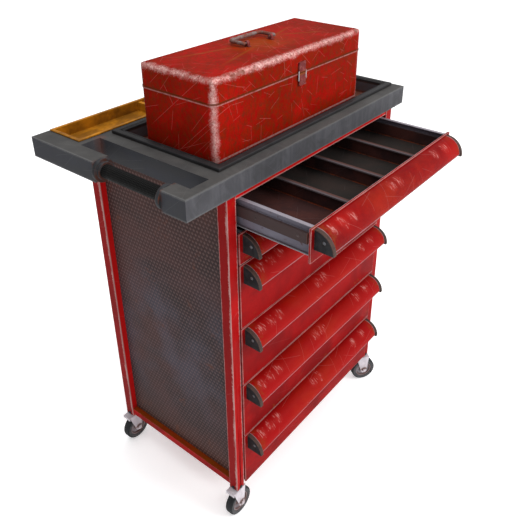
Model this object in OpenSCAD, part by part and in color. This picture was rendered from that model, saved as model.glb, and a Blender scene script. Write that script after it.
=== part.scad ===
// Rolling tool cabinet: six drawers on slides, a worktop with a push handle, a lift-out parts tray
// and a portable tool box, all on four swivel casters.
// Origin: centre of the base pan's flat underside. +Z is up and the drawer fronts face -Y.

/* [Cabinet] */
// Width over the corner posts
body_w = 680; // [640:1:760]
// Depth over the corner posts
body_d = 447; // [440:1:500]
// Side of the square corner posts
post_w = 28; // [24:1:32]
// Length of post below the base pan
post_drop = 15; // [12:1:24]
// Distance from the posts' outer faces to the side panels
panel_recess = 18; // [10:1:22]
// Height of the base rails
base_rail_h = 12; // [10:1:14]
// Height of the top rails
top_rail_h = 26; // [20:1:32]

/* [Drawers] */
// Pitch of the shallow drawers
shallow_pitch = 81; // [76:1:100]
// Pitch of the deep drawers
deep_pitch = 176; // [140:1:200]
// Number of shallow drawers, counted from the top
shallow_count = 2; // [1:1:3]
// Gap between neighbouring fronts
front_gap = 3; // [2:0.5:5]
// Thickness of the fronts
front_t = 5; // [4:0.5:6]
// Distance the fronts stand proud of the posts
front_proud = 4; // [2:0.5:4]
// Depth of the drawer boxes
box_d = 410; // [360:1:415]
// Radius of the quarter-round pulls
pull_r = 42; // [30:1:44]
// Distance the top drawer stands open
open_by = 182; // [0:1:360]

/* [Worktop] */
// Thickness of the worktop
top_t = 47; // [44:1:55]
// Overhang on the handle side
over_left = 130; // [130:1:160]
// Overhang on the other side
over_right = 20; // [20:1:60]
// Overhang at the front
over_front = 20; // [20:1:40]
// Overhang at the back
over_back = 9; // [9:1:30]
// Diameter of the push handle's grip
grip_d = 30; // [24:1:36]

/* [Tool box] */
// Length of the tool box
box_l = 545; // [420:1:560]
// Width of the tool box, front to back
box_w = 211; // [180:1:220]
// Height of the tool box without its lid
base_h = 149.5; // [110:0.5:160]
// Height of the lid
lid_h = 52.5; // [40:0.5:60]
// Radius of the tool box's rounded edges
edge_r = 15; // [6:0.5:18]

/* [Casters] */
// Diameter of the wheels
wheel_d = 81; // [70:1:84]
// Width of the tyres
tyre_w = 22; // [18:1:24]
// Distance from the swivel axis to the axle
trail = 9; // [6:1:12]
// Height from the floor to the posts' lower ends
caster_h = 98; // [94:1:110]
// Swivel angle of the front right caster
swing = -35; // [-180:5:180]

/* [Hidden] */
$fn = 48;
CASTERS = ["fl", "fr", "bl", "br"];

// drawer stack, numbered 1 to 6 from the top
drawer_count = 6;
front_drop = 6;                 // the lowest front hangs this far below the base pan
stack_h = shallow_count * shallow_pitch + (drawer_count - shallow_count) * deep_pitch;
rail_gap = 2;
body_h = stack_h - front_drop + rail_gap + top_rail_h;
top_z = body_h + top_t;         // upper face of the worktop
function pitch(i) = i <= shallow_count ? shallow_pitch : deep_pitch;
function front_top(i) = i == 1 ? body_h - top_rail_h - rail_gap : front_top(i - 1) - pitch(i - 1);
function front_h(i) = pitch(i) - front_gap;
function slid(i) = i == 1 ? -open_by : 0;

// body corners and faces
hw = body_w / 2;
hd = body_d / 2;
in_x = hw - post_w;             // inner faces of the posts
in_y = hd - post_w;
panel_x = hw - panel_recess;    // outer faces of the side panels
sheet = 2;                      // sheet thickness of panels and boxes
post_wall = 2;
rail_w = 18;                    // width of the frame rails
rail_setback = 2;               // front and back rails sit this far inside the posts' faces
side_setback = 3.3;             // and the lower side rails this far
side_drop = 9;                  // which hang this far below the pan
back_y = hd - 8.5;              // outer face of the back panel
bolt_z = -8;                    // height of the bolts at the posts' feet
bolt_r = 2.1;

// drawer boxes and slides
front_y = -hd - front_proud;    // outer face of a closed front
front_hw = in_x - 2;
box_hw = in_x - 14;
box_y = front_y + front_t;
box_lip = 2;                    // the box stops this far below the front's upper edge
box_lift = 12;                  // and this far above its lower edge
flange_w = 9;                   // folded flanges of the box
runner_h = 24;
runner_t = 8;
runner_drop = 27;               // from the front's upper edge to the runner's centre line
runner_setback = 6;             // runners and slides start this far behind the posts' faces
slide_gap = 0.3;
slide_side = 2;                 // between a slide's lips and the box
slide_t = 2;
pull_wall = 3;
pull_drop = 4;                  // the front's lip above the pull
cap_r = pull_r + 4;
cap_t = 9;
cap_inset = 11.5;
screw_r = 4;                    // recess for the screw in each cap
screw_sink = 1.5;
insert_drop = 15;               // the divider insert lies this far below the box's rim
insert_lift = 13;               // and its floor this far above the box's floor
divider_count = 3;
function box_top(i) = front_top(i) - box_lip;
function box_low(i) = max(front_top(i) - front_h(i) + box_lift, base_rail_h + 3);

// worktop
left_x = -hw - over_left;
right_x = hw + over_right;
near_y = -hd - over_front;
far_y = hd + over_back;
bar_w = 39;                     // outer bar of the frame around the hand slot
slot_w = 50;
slot_near = near_y + 25.5;
slot_far = far_y - 123;
gap_near = near_y + 66.5;       // the grip bridges this gap in the outer bar
gap_far = far_y - 213.5;
grip_x = left_x + bar_w / 2;
grip_z = body_h + top_t / 2;
top_sheet = 8;                  // left under the liner and the tray
rod_r = 8;
rod_seat = 20;                  // length of rod inside each arm of the worktop
collar_r = 26;
collar_t = 9;
ring_r = 19.5;
ring_t = 5;

// tray insert and parts tray, each a rectangle [x0, y0, x1, y1] for its rim
insert_rim = [-hw - 8, near_y + 29.5, hw + 5, far_y - 122.5];
parts_rim = [-hw - 85, far_y - 108.5, hw, far_y - 2.5];
insert_rim_h = 8;
insert_rim_w = 20;
insert_step = [6, 2];           // width and height of the step inside its rim
insert_floor = top_z - 32;      // the tool box stands on this
insert_under = insert_floor - 2.3;
parts_rim_h = 3.5;
parts_rim_w = 8;
parts_floor = top_z - 23;
parts_under = parts_floor - 3;
parts_count = 3;
parts_wall = 10;
seat = 4;                       // the rims rest this far onto the worktop
fit_gap = 0.5;

// tool box
tb_x = -hw + 24 + box_l / 2;    // its centre
tb_y = -hd + 47.5 + box_w / 2;
tb_wall = 2;
seam_z = insert_floor + base_h;
lid_top = seam_z + lid_h;
bead = 1.2;
bead_h = 2.4;
seam_gap = 0.4;
hinge_y = tb_y + box_w / 2 + 6;
knuckle_r = 4;
hinge_pin_r = 1.6;
knuckle_l = 60;
knuckle_count = 7;
hinge_play = 0.4;
bail_r = 4.4;
bail_hw = 54;
bail_reach = 44;
bail_bend = 14;
bail_pin_r = 2.6;
bail_y = tb_y + 3;
bail_z = lid_top + 8;
latch_x = tb_x + 16.5;
latch_w = 24;
latch_t = 2.5;
latch_y = tb_y - box_w / 2 - bead - 0.2;
curl_r = 2.4;                   // curled ends of both latch leaves
wire_r = 1.1;
wire_top = seam_z + 4;          // the hasp swings about the wire's upper bar
wire_low = seam_z - 16;

// casters
pivot_shift = [-8, -1];         // swivel axis from the post's centre
floor_z = -post_drop - caster_h;
axle_z = floor_z + wheel_d / 2;
stem_r = 5;
run_gap = 0.05;
flange_t = 1.2;
crown_top = -post_drop - flange_t - 0.4;
crown_t = 2.4;
crown_x = [-20, 26];            // its two ends, from the swivel axis
fork_t = 2.2;
fork_in = tyre_w / 2 + 0.8;
axle_r = 4;
hub_r = wheel_d / 2 - 13.3;
function pivot(c) = [
    (c[1] == "l" ? -1 : 1) * (hw - post_w / 2) + pivot_shift[0],
    (c[0] == "f" ? -1 : 1) * (hd - post_w / 2) + pivot_shift[1], 0];

// ---- helpers ----

// a box between two corners
module block(a, b) { translate(a) cube(b - a); }

// the same thing on all four corners of the body
module each_corner() {
    for (sx = [-1, 1], sy = [-1, 1]) scale_sign(sx, sy) children();
}

module scale_sign(sx, sy) {
    mirror([sx < 0 ? 1 : 0, 0, 0]) mirror([0, sy < 0 ? 1 : 0, 0]) children();
}

module both_sides() { children(); mirror([1, 0, 0]) children(); }

// a rectangle [x0, y0, x1, y1] drawn in by d, from z0 to z1
module rim_block(r, d, z0, z1) { block([r[0] + d, r[1] + d, z0], [r[2] - d, r[3] - d, z1]); }

// a cylinder along Y between y0 and y1
module bar_y(r, y0, y1) { translate([0, y1, 0]) rotate([90, 0, 0]) cylinder(r = r, h = y1 - y0); }

// a cylinder along X between x0 and x1
module bar_x(r, x0, x1) { translate([x0, 0, 0]) rotate([0, 90, 0]) cylinder(r = r, h = x1 - x0); }

// a rectangle with round corners, centred
module round_rect(l, w, r) {
    square([l - 2 * r, w], center = true);
    square([l, w - 2 * r], center = true);
    for (sx = [-1, 1], sy = [-1, 1]) translate([sx * (l / 2 - r), sy * (w / 2 - r)]) circle(r = r);
}

// an upright block with round vertical edges and round upper edges, standing on z = 0
module round_top(l, w, h, r) {
    intersection() {
        linear_extrude(h) round_rect(l, w, r);
        translate([-l / 2, 0, 0]) rotate([90, 0, 90]) linear_extrude(l) round_rect(w, 2 * h, r);
        translate([0, w / 2, 0]) rotate([90, 0, 0]) linear_extrude(w) round_rect(l, 2 * h, r);
    }
}

// ---- cabinet ----

module corner_posts() {
    color("firebrick") each_corner() difference() {
        block([in_x, in_y, -post_drop], [hw, hd, body_h]);
        block([in_x + post_wall, in_y + post_wall, -post_drop - 1],
              [hw - post_wall, hd - post_wall, body_h + 1]);
        translate([hw - post_w / 2, 0, bolt_z]) bar_y(bolt_r, hd - post_wall - 1, hd + 1);
        translate([0, hd - post_w / 2, bolt_z]) bar_x(bolt_r, hw - post_wall - 1, hw + 1);
    }
}

module frame_rails() {
    color("darkred") {
        both_sides() {
            block([panel_x - sheet, -in_y, -side_drop], [hw - side_setback, in_y, base_rail_h]);
            block([panel_x - sheet - rail_w, -in_y, body_h - top_rail_h], [panel_x - sheet, in_y, body_h]);
        }
        for (z = [[0, base_rail_h], [body_h - top_rail_h, body_h]])
            block([-in_x, -hd + rail_setback, z[0]], [in_x, -hd + rail_setback + rail_w, z[1]]);
        block([-in_x, back_y - rail_w, 0], [in_x, back_y, base_rail_h]);
        block([-in_x, back_y - sheet - rail_w, body_h - top_rail_h], [in_x, back_y - sheet, body_h]);
    }
}

module right_side_panel() {
    color("dimgray") block([panel_x - sheet, -in_y, base_rail_h], [panel_x, in_y, body_h]);
}

module left_side_panel() { mirror([1, 0, 0]) right_side_panel(); }

module back_panel() {
    color("firebrick") block([-in_x, back_y - sheet, base_rail_h], [in_x, back_y, body_h]);
}

// a dished pan; its hollow is two crossing blocks, which leave a wall round each post
module base_pan() {
    rim = [sheet - panel_x, -hd + rail_setback + rail_w, panel_x - sheet, back_y - rail_w];
    across = [rim[0] + sheet, -in_y + sheet, rim[2] - sheet, in_y - sheet];
    along = [-in_x - sheet, rim[1] + sheet, in_x + sheet, rim[3] - sheet];
    color("darkred") difference() {
        rim_block(rim, 0, 0, base_rail_h);
        for (r = [across, along]) rim_block(r, 0, sheet, base_rail_h + 1);
        each_corner() block([in_x, in_y, -1], [hw, hd, base_rail_h + 1]);
    }
}

// a fixed channel on each side of each drawer, wrapped round its runner
module slide_rails() {
    inner = runner_h / 2 + slide_gap;
    near = -hd + runner_setback;
    far = in_y + post_w / 2;
    color("slategray") both_sides() for (i = [1:drawer_count])
        translate([0, 0, front_top(i) - runner_drop]) difference() {
            block([box_hw + slide_side, near, -inner - slide_t], [in_x, far, inner + slide_t]);
            block([box_hw, near - 1, -inner], [in_x - slide_t, far + 1, inner]);
        }
}

// domed bolts at the posts' feet, and two under the worktop's front edge
module frame_bolts() {
    head_r = 4.5;
    head_h = 2;
    foot_r = 5;
    color("dimgray") {
        each_corner() {
            translate([hw - post_w / 2, 0, bolt_z]) {
                bar_y(bolt_r, hd - post_wall, hd);
                bar_y(head_r, hd, hd + head_h);
            }
            translate([0, hd - post_w / 2, bolt_z]) {
                bar_x(bolt_r, hw - post_wall, hw);
                bar_x(head_r, hw, hw + head_h);
            }
        }
        both_sides() translate([hw - 2 * foot_r, near_y + over_front / 2, body_h - foot_r])
            cylinder(r = foot_r, h = foot_r);
    }
}

// plug in the post's foot, with a flange and a headed swivel pin below it
module caster_stems() {
    plug_w = post_w - 2 * post_wall - 0.4;
    plug_h = 22;
    head_r = 9;
    head_t = 3;
    head_z = crown_top - crown_t - 0.5;
    color("silver") for (c = CASTERS) translate(pivot(c)) {
        translate([-pivot_shift[0], -pivot_shift[1], -post_drop + plug_h / 2])
            cube([plug_w, plug_w, plug_h], center = true);
        translate([-pivot_shift[0], -pivot_shift[1], -post_drop - flange_t / 2])
            cube([post_w, post_w, flange_t], center = true);
        translate([0, 0, head_z]) cylinder(r = stem_r, h = -post_drop - head_z);
        translate([0, 0, head_z - head_t]) cylinder(r = head_r, h = head_t);
    }
}

// ---- worktop ----

module worktop() {
    pocket_x = panel_x - sheet - rail_w;
    color([0.3, 0.3, 0.31]) difference() {
        block([left_x, near_y, body_h], [right_x, far_y, top_z]);
        block([left_x + bar_w, slot_near, body_h - 1], [left_x + bar_w + slot_w, slot_far, top_z + 1]);
        block([left_x - 1, gap_near, body_h - 1], [left_x + bar_w + 1, gap_far, top_z + 1]);
        rim_block(insert_rim, seat - fit_gap, insert_under - fit_gap, top_z + 1);
        rim_block(parts_rim, seat - fit_gap, parts_under - fit_gap, top_z + 1);
        block([-pocket_x, insert_rim[3], body_h - 1], [pocket_x, in_y, parts_under - top_sheet]);
        block([-pocket_x, -in_y, body_h - 1], [pocket_x, insert_rim[3] + 1, insert_under - top_sheet]);
        translate([grip_x, 0, grip_z]) bar_y(rod_r + 0.1, gap_near - rod_seat, gap_far + rod_seat);
    }
}

// dished liner for the tool box, with a stepped lip
module tray_insert() {
    high = top_z + insert_rim_h;
    color([0.2, 0.2, 0.21]) difference() {
        union() {
            rim_block(insert_rim, 0, top_z, high);
            rim_block(insert_rim, seat, insert_under, top_z + 1);
        }
        rim_block(insert_rim, insert_rim_w - insert_step[0], high - insert_step[1], high + 1);
        rim_block(insert_rim, insert_rim_w, insert_floor, high + 1);
    }
}

// three square-cornered cells under one rim
module parts_tray() {
    inner = [parts_rim[2] - parts_rim[0], parts_rim[3] - parts_rim[1]] - 2 * [parts_rim_w, parts_rim_w];
    cell = (inner[0] - (parts_count - 1) * parts_wall) / parts_count;
    color("goldenrod") difference() {
        union() {
            rim_block(parts_rim, 0, top_z, top_z + parts_rim_h);
            rim_block(parts_rim, seat, parts_under, top_z + 1);
        }
        rim_block(parts_rim, parts_rim_w, top_z - 1, top_z + parts_rim_h + 1);
        translate([parts_rim[0] + parts_rim_w, parts_rim[1] + parts_rim_w, parts_floor])
            for (i = [0:parts_count - 1])
                translate([i * (cell + parts_wall), 0, 0]) cube([cell, inner[1], top_z]);
    }
}

module handle_rod() {
    color("silver") translate([grip_x, 0, grip_z])
        bar_y(rod_r, gap_near - rod_seat + 1, gap_far + rod_seat - 1);
}

// a wide flange against each arm of the worktop, then a narrower ring against the grip
module handle_collars() {
    color([0.25, 0.25, 0.26]) translate([grip_x, 0, grip_z])
        for (end = [[gap_near, 0], [gap_far, 1]]) translate([0, end[0], 0]) mirror([0, end[1], 0])
            difference() {
                union() {
                    bar_y(collar_r, 0, collar_t);
                    bar_y(ring_r, collar_t, collar_t + ring_t);
                }
                bar_y(rod_r + run_gap, -1, collar_t + ring_t + 1);
            }
}

module handle_grip() {
    ends = collar_t + ring_t;
    color([0.08, 0.08, 0.08]) translate([grip_x, 0, grip_z]) difference() {
        bar_y(grip_d / 2, gap_near + ends, gap_far - ends);
        bar_y(rod_r + run_gap, gap_near, gap_far);
    }
}

// ---- drawers ----

// sheet-metal tray with folded rims, a foot flange and a runner bar riveted to each side
module drawer_box(i) {
    low = box_low(i);
    top = box_top(i);
    far = box_y + box_d;
    color("lightsteelblue") translate([0, slid(i), 0]) {
        difference() {
            block([-box_hw, box_y, low], [box_hw, far, top]);
            block([-box_hw + sheet, box_y + sheet, low + sheet], [box_hw - sheet, far - sheet, top + 1]);
        }
        both_sides() {
            block([box_hw - flange_w, box_y + sheet, top - sheet], [box_hw - sheet, far - sheet, top]);
            block([box_hw, box_y, low], [box_hw + 4, far, low + sheet]);
            translate([box_hw, -hd + runner_setback + 1, front_top(i) - runner_drop - runner_h / 2])
                cube([runner_t, far + hd - runner_setback - 1, runner_h]);
        }
    }
}

module drawer_front(i) {
    color("firebrick") translate([0, slid(i), 0])
        block([-front_hw, front_y, front_top(i) - front_h(i)], [front_hw, front_y + front_t, front_top(i)]);
}

// quarter of a round bar of radius r along X, below and in front of its corner
module quarter_bar(r, x0, x1) {
    intersection() {
        bar_x(r, x0, x1);
        block([x0 - 1, -r - 1, 0], [x1 + 1, 0, r + 1]);
    }
}

// rolled full-width pull, open underneath for the fingers
module drawer_pull(i) {
    end = front_hw - cap_inset - cap_t;
    inner = pull_r - pull_wall;
    color("red") translate([0, slid(i) + front_y, front_top(i) - pull_drop - pull_r]) difference() {
        quarter_bar(pull_r, -end, end);
        translate([0, -pull_wall, -1]) quarter_bar(inner - pull_wall / 2, -end - 1, end + 1);
        block([-end - 1, -inner, -1], [end + 1, -pull_wall, 2]);
    }
}

// end caps of the pull, each with a recess for its screw
module drawer_caps(i) {
    end = front_hw - cap_inset;
    color([0.15, 0.14, 0.13]) translate([0, slid(i) + front_y, front_top(i) - pull_drop - cap_r])
        both_sides() difference() {
            quarter_bar(cap_r, end - cap_t, end);
            translate([0, -cap_r / 2, cap_r / 2]) bar_x(screw_r, end - screw_sink, end + 1);
        }
}

// dark liner that divides the top drawer into four compartments
module drawer_1_dividers() {
    x1 = box_hw - sheet - 0.5;
    y0 = box_y + sheet + 0.5;
    y1 = box_y + box_d - sheet - 0.5;
    z0 = box_low(1) + sheet;
    z1 = box_top(1) - insert_drop;
    t = 1.6;
    fold_hw = 6;
    fold_h = 3;
    cell = (2 * x1 - (divider_count + 2) * t) / (divider_count + 1);
    color([0.2, 0.15, 0.13]) translate([0, slid(1), 0]) {
        difference() {
            block([-x1, y0, z0], [x1, y1, z1]);
            block([-x1 + t, y0 + t, z0 - 1], [x1 - t, y1 - t, z0 + insert_lift]);
            for (k = [0:divider_count]) translate([-x1 + t + k * (cell + t), y0 + t, z0 + insert_lift + t])
                cube([cell, y1 - y0 - 2 * t, z1]);
        }
        for (k = [1:divider_count]) translate([-x1 + t / 2 + k * (cell + t), 0, 0])
            block([-fold_hw, y0, z1], [fold_hw, y1, z1 + fold_h]);
    }
}

// ---- tool box ----

// one of the two rolled beads that meet at the seam
module seam_bead(z) {
    translate([tb_x, tb_y, z]) linear_extrude(bead_h) difference() {
        round_rect(box_l + 2 * bead, box_w + 2 * bead, edge_r + bead);
        round_rect(box_l - 2 * tb_wall, box_w - 2 * tb_wall, edge_r - tb_wall);
    }
}

// every second knuckle from first, each joined to the box by a web that starts at web_z
module knuckles(first, web_z) {
    step = knuckle_l + hinge_play;
    start = -knuckle_count * step / 2;
    web = [knuckle_l, 5.5, 3.5];
    translate([tb_x, hinge_y, seam_z]) for (k = [first:2:knuckle_count - 1])
        difference() {
            union() {
                bar_x(knuckle_r, start + k * step, start + k * step + knuckle_l);
                translate([start + k * step, -web[1], web_z]) cube(web);
            }
            bar_x(hinge_pin_r + run_gap, start - 1, -start + 1);
        }
}

module toolbox_base() {
    color("firebrick") difference() {
        union() {
            translate([tb_x, tb_y, insert_floor]) linear_extrude(base_h - seam_gap)
                round_rect(box_l, box_w, edge_r);
            seam_bead(seam_z - seam_gap - bead_h);
            knuckles(0, -4);
        }
        translate([tb_x, tb_y, insert_floor + tb_wall]) linear_extrude(base_h)
            round_rect(box_l - 2 * tb_wall, box_w - 2 * tb_wall, edge_r - tb_wall);
    }
}

module toolbox_lid() {
    color("firebrick") difference() {
        union() {
            translate([tb_x, tb_y, seam_z]) round_top(box_l, box_w, lid_h, edge_r);
            seam_bead(seam_z);
            knuckles(1, 0.5);
        }
        translate([tb_x, tb_y, seam_z - 1])
            round_top(box_l - 2 * tb_wall, box_w - 2 * tb_wall, lid_h + 1 - tb_wall, edge_r - tb_wall);
    }
}

module toolbox_hinge_pin() {
    half = knuckle_count * (knuckle_l + hinge_play) / 2;
    color("silver") translate([tb_x, hinge_y, seam_z]) bar_x(hinge_pin_r, -half - 1, half + 1);
}

// two eyes on the lid for the handle's turned-in ends
module bail_brackets() {
    inner = bail_hw - 16;
    outer = bail_hw - 8;
    eye_r = 5;
    foot_r = 9;
    color("rosybrown") translate([tb_x, bail_y, 0]) both_sides() difference() {
        union() {
            block([inner, -foot_r, lid_top], [outer, foot_r, lid_top + 2]);
            block([inner, -eye_r, lid_top + 2], [outer, eye_r, bail_z]);
            translate([0, 0, bail_z]) bar_x(eye_r, inner, outer);
        }
        translate([0, 0, bail_z]) bar_x(bail_pin_r + run_gap, inner - 1, outer + 1);
    }
}

// round-rod carrying handle, lying back on the lid
module bail_handle() {
    far = bail_reach;
    side = bail_hw - bail_bend;
    color("gray") translate([tb_x, bail_y, bail_z]) {
        both_sides() {
            translate([side, far - bail_bend, 0])
                rotate_extrude(angle = 90) translate([bail_bend, 0]) circle(r = bail_r);
            translate([bail_hw, 0, 0]) bar_y(bail_r, 0, far - bail_bend);
            translate([bail_hw, 0, 0]) sphere(r = bail_r);
            bar_x(bail_pin_r, bail_hw - 18, bail_hw);
        }
        translate([0, far, 0]) bar_x(bail_r, -side, side);
    }
}

// upper half of the latch, on the lid, with an eye for the wire
module latch_plate() {
    high = seam_z + 25;
    color("indianred") translate([latch_x, 0, 0]) difference() {
        union() {
            block([-latch_w / 2, latch_y - latch_t, wire_top + 2], [latch_w / 2, latch_y, high]);
            block([-latch_w / 2, latch_y, wire_top + 2], [latch_w / 2, tb_y - box_w / 2, high - 3]);
            translate([0, latch_y - latch_t, wire_top]) bar_x(curl_r, -latch_w / 2, latch_w / 2);
        }
        translate([0, latch_y - latch_t, wire_top]) bar_x(wire_r + run_gap, -latch_w, latch_w);
    }
}

// lower leaf of the latch, held by the wire
module latch_hasp() {
    low = seam_z - 27;
    lip_r = 1.8;
    out = 0.4;
    color("indianred") translate([latch_x, -out, 0]) difference() {
        union() {
            block([-latch_w / 2, latch_y - latch_t, low], [latch_w / 2, latch_y, seam_z]);
            translate([0, latch_y - latch_t, wire_low]) bar_x(curl_r, -latch_w / 2, latch_w / 2);
            translate([0, latch_y - latch_t, low]) bar_x(lip_r, -latch_w / 2, latch_w / 2);
        }
        translate([0, out + latch_y - latch_t, wire_low]) bar_x(wire_r + run_gap, -latch_w, latch_w);
    }
}

// closed loop of spring wire through both halves
module latch_wire() {
    side = latch_w / 2 + wire_r + 0.6;
    color("silver") translate([latch_x, latch_y - latch_t, 0]) {
        for (z = [wire_top, wire_low]) translate([0, 0, z]) bar_x(wire_r, -side, side);
        both_sides() translate([side, 0, wire_low]) {
            cylinder(r = wire_r, h = wire_top - wire_low);
            for (z = [0, wire_top - wire_low]) translate([0, 0, z]) sphere(r = wire_r);
        }
    }
}

// ---- casters ----

// a caster's own frame: the swivel axis is Z and the axle lies towards +X
module at_caster(c) { translate(pivot(c)) rotate([0, 0, c == "fr" ? swing : 0]) children(); }

module at_axle(c) { at_caster(c) translate([trail, 0, axle_z]) rotate([90, 0, 0]) children(); }

// one cheek of the fork, in the XZ plane; its upper edge ends inside the crown
module cheek() {
    tip_r = 11;
    foot = tip_r - 0.8;             // half width of the cheek where it meets its round tip
    difference() {
        union() {
            polygon([[crown_x[0] + 1, crown_top - 1], [crown_x[1] - 1, crown_top - 1],
                     [trail + foot, axle_z - 1], [trail - foot, axle_z - 1]]);
            translate([trail, axle_z]) circle(r = tip_r);
        }
        translate([trail, axle_z]) circle(r = axle_r + run_gap);
    }
}

// flat top of the fork, with one end turned down
module crown() {
    lip = 6;
    low = crown_top - crown_t;
    polygon([[crown_x[1], crown_top], [crown_x[0] - 1, crown_top], [crown_x[0] - 2, crown_top - 1],
             [crown_x[0] - 2, low - lip], [crown_x[0], low - lip], [crown_x[0], low], [crown_x[1], low]]);
}

// a 2D shape in the XZ plane made into a plate between y0 and y1
module plate_y(y0, y1) { translate([0, y1, 0]) rotate([90, 0, 0]) linear_extrude(y1 - y0) children(); }

// pressed fork, and the axle bolt with its head and nut
module caster_fork(c) {
    outer = fork_in + fork_t;
    nut_h = 5;
    nut_r = 7;
    color("lightgray") at_caster(c) {
        difference() {
            union() {
                plate_y(-outer, -fork_in) cheek();
                plate_y(fork_in, outer) cheek();
                plate_y(-outer, outer) crown();
            }
            translate([0, 0, crown_top - crown_t - 1]) cylinder(r = stem_r + run_gap, h = crown_t + 2);
        }
        translate([trail, 0, axle_z]) {
            bar_y(axle_r, -outer - nut_h - 1, outer + nut_h + 1);
            for (y = [-outer, outer + nut_h])
                translate([0, y, 0]) rotate([90, 0, 0]) cylinder(r = nut_r, h = nut_h, $fn = 6);
        }
    }
}

// dished wheel centre with a long boss
module caster_hub(c) {
    half = tyre_w / 2 - 2;
    boss_r = 9;
    boss = fork_in - 0.3;
    web = 4;
    bore = axle_r + run_gap;
    color("darkgray") at_axle(c) rotate_extrude() polygon([
        [bore, -boss], [boss_r, -boss], [boss_r, -web], [hub_r - 5, -web], [hub_r - 3, -half], [hub_r, -half],
        [hub_r, half], [hub_r - 3, half], [hub_r - 5, web], [boss_r, web], [boss_r, boss], [bore, boss]]);
}

// tyre with small shoulders
module caster_tyre(c) {
    r = wheel_d / 2;
    half = tyre_w / 2;
    color([0.12, 0.12, 0.12]) at_axle(c) rotate_extrude() polygon([
        [hub_r, -half + 1], [hub_r + 2, -half], [r - 2, -half], [r, -half + 3],
        [r, half - 3], [r - 2, half], [hub_r + 2, half], [hub_r, half - 1]]);
}

corner_posts();
frame_rails();
left_side_panel();
right_side_panel();
back_panel();
base_pan();
slide_rails();
frame_bolts();
caster_stems();
worktop();
tray_insert();
handle_rod();
handle_collars();
handle_grip();
parts_tray();
for (i = [1:drawer_count]) {
    drawer_box(i);
    drawer_front(i);
    drawer_pull(i);
    drawer_caps(i);
}
drawer_1_dividers();
toolbox_base();
toolbox_lid();
toolbox_hinge_pin();
bail_handle();
bail_brackets();
latch_plate();
latch_hasp();
latch_wire();
for (c = CASTERS) {
    caster_fork(c);
    caster_hub(c);
    caster_tyre(c);
}
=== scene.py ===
"""Rolling tool box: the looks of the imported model. Lengths are metres, in the row frame.

A material is made of masks, which run from 0 to 1, and of colours laid over each other through them.
Patterns are worked out from the place on the object, so they stay put at every pose.
"""

import math

import bmesh
import bpy
from mathutils import Matrix, Vector


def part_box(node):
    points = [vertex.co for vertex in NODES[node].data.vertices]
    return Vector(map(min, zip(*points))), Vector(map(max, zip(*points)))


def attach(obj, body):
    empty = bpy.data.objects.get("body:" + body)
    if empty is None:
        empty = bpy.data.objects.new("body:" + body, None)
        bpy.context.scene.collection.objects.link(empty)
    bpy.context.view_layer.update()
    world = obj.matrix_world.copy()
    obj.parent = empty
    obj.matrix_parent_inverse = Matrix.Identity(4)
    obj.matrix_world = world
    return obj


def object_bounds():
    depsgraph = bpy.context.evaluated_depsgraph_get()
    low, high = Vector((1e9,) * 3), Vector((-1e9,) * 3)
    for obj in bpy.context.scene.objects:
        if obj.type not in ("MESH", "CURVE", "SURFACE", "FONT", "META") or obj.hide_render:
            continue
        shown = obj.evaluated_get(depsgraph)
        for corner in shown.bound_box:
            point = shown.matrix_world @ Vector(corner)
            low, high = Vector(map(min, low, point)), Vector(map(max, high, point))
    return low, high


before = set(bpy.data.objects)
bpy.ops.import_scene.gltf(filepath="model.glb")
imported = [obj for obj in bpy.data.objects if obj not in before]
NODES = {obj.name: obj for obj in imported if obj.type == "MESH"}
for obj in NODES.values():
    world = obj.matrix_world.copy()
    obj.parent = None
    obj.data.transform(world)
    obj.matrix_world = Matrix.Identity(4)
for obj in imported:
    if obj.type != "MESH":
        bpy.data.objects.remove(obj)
CAD_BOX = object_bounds()
DRAWERS = range(1, 7)
CORNERS = ("fl", "fr", "bl", "br")
X, Y, Z = range(3)

# the camera's place, its turns about X, Y and Z in degrees, and how far its frame is off centre
CAMERA_AT = (-1.1419, -0.9690, 1.4686)
CAMERA_TURN = (61.49, -0.25, -52.07)
CAMERA_LENS = 42.64
CAMERA_SHIFT = (-0.0246, -0.1200)

SKY_FROM = (0.80, -0.45, 0.40)  # where the sky is brightest
SKY_DIM = 0.34
SKY_BRIGHT = 0.98
LIGHT_AIM_Z = 0.45
FLOOR_SIZE = 14.0


# ---- colours ----


def rgb(r, g, b):
    """A colour given as 0-255 screen values, as the linear colour that a shader needs."""
    linear = (((c / 255 + 0.055) / 1.055) ** 2.4 if c > 10 else c / 255 / 12.92 for c in (r, g, b))
    return (*linear, 1.0)


RED = rgb(164, 13, 14)
RED_CLOUD = rgb(142, 11, 12)
RED_DARK = rgb(120, 9, 11)
RED_PULL = rgb(146, 13, 9)
RED_FRONT = rgb(148, 12, 13)
RED_FRONT_DARK = rgb(108, 8, 10)
RED_BOX = rgb(160, 13, 9)
RED_BOX_DARK = rgb(132, 8, 4)
OLIVE = rgb(100, 40, 5)
PALE = rgb(236, 196, 190)
PALE_DULL = rgb(176, 136, 132)
LINE_GREY = rgb(150, 130, 134)
RUST = rgb(122, 58, 20)
RUST_DARK = rgb(72, 36, 22)
RUST_ORANGE = rgb(132, 60, 12)
SLATE = rgb(76, 75, 74)
SLATE_DARK = rgb(56, 56, 57)
SLATE_SHADED_SIDE = rgb(50, 51, 57)
OCHRE = rgb(190, 124, 22)
OCHRE_DARK = rgb(122, 78, 16)
GREY_PALE = rgb(196, 192, 196)
BROWN_STEEL = rgb(60, 46, 44)
BROWN_RIM = rgb(78, 60, 54)


# ---- shader building ----


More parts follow.
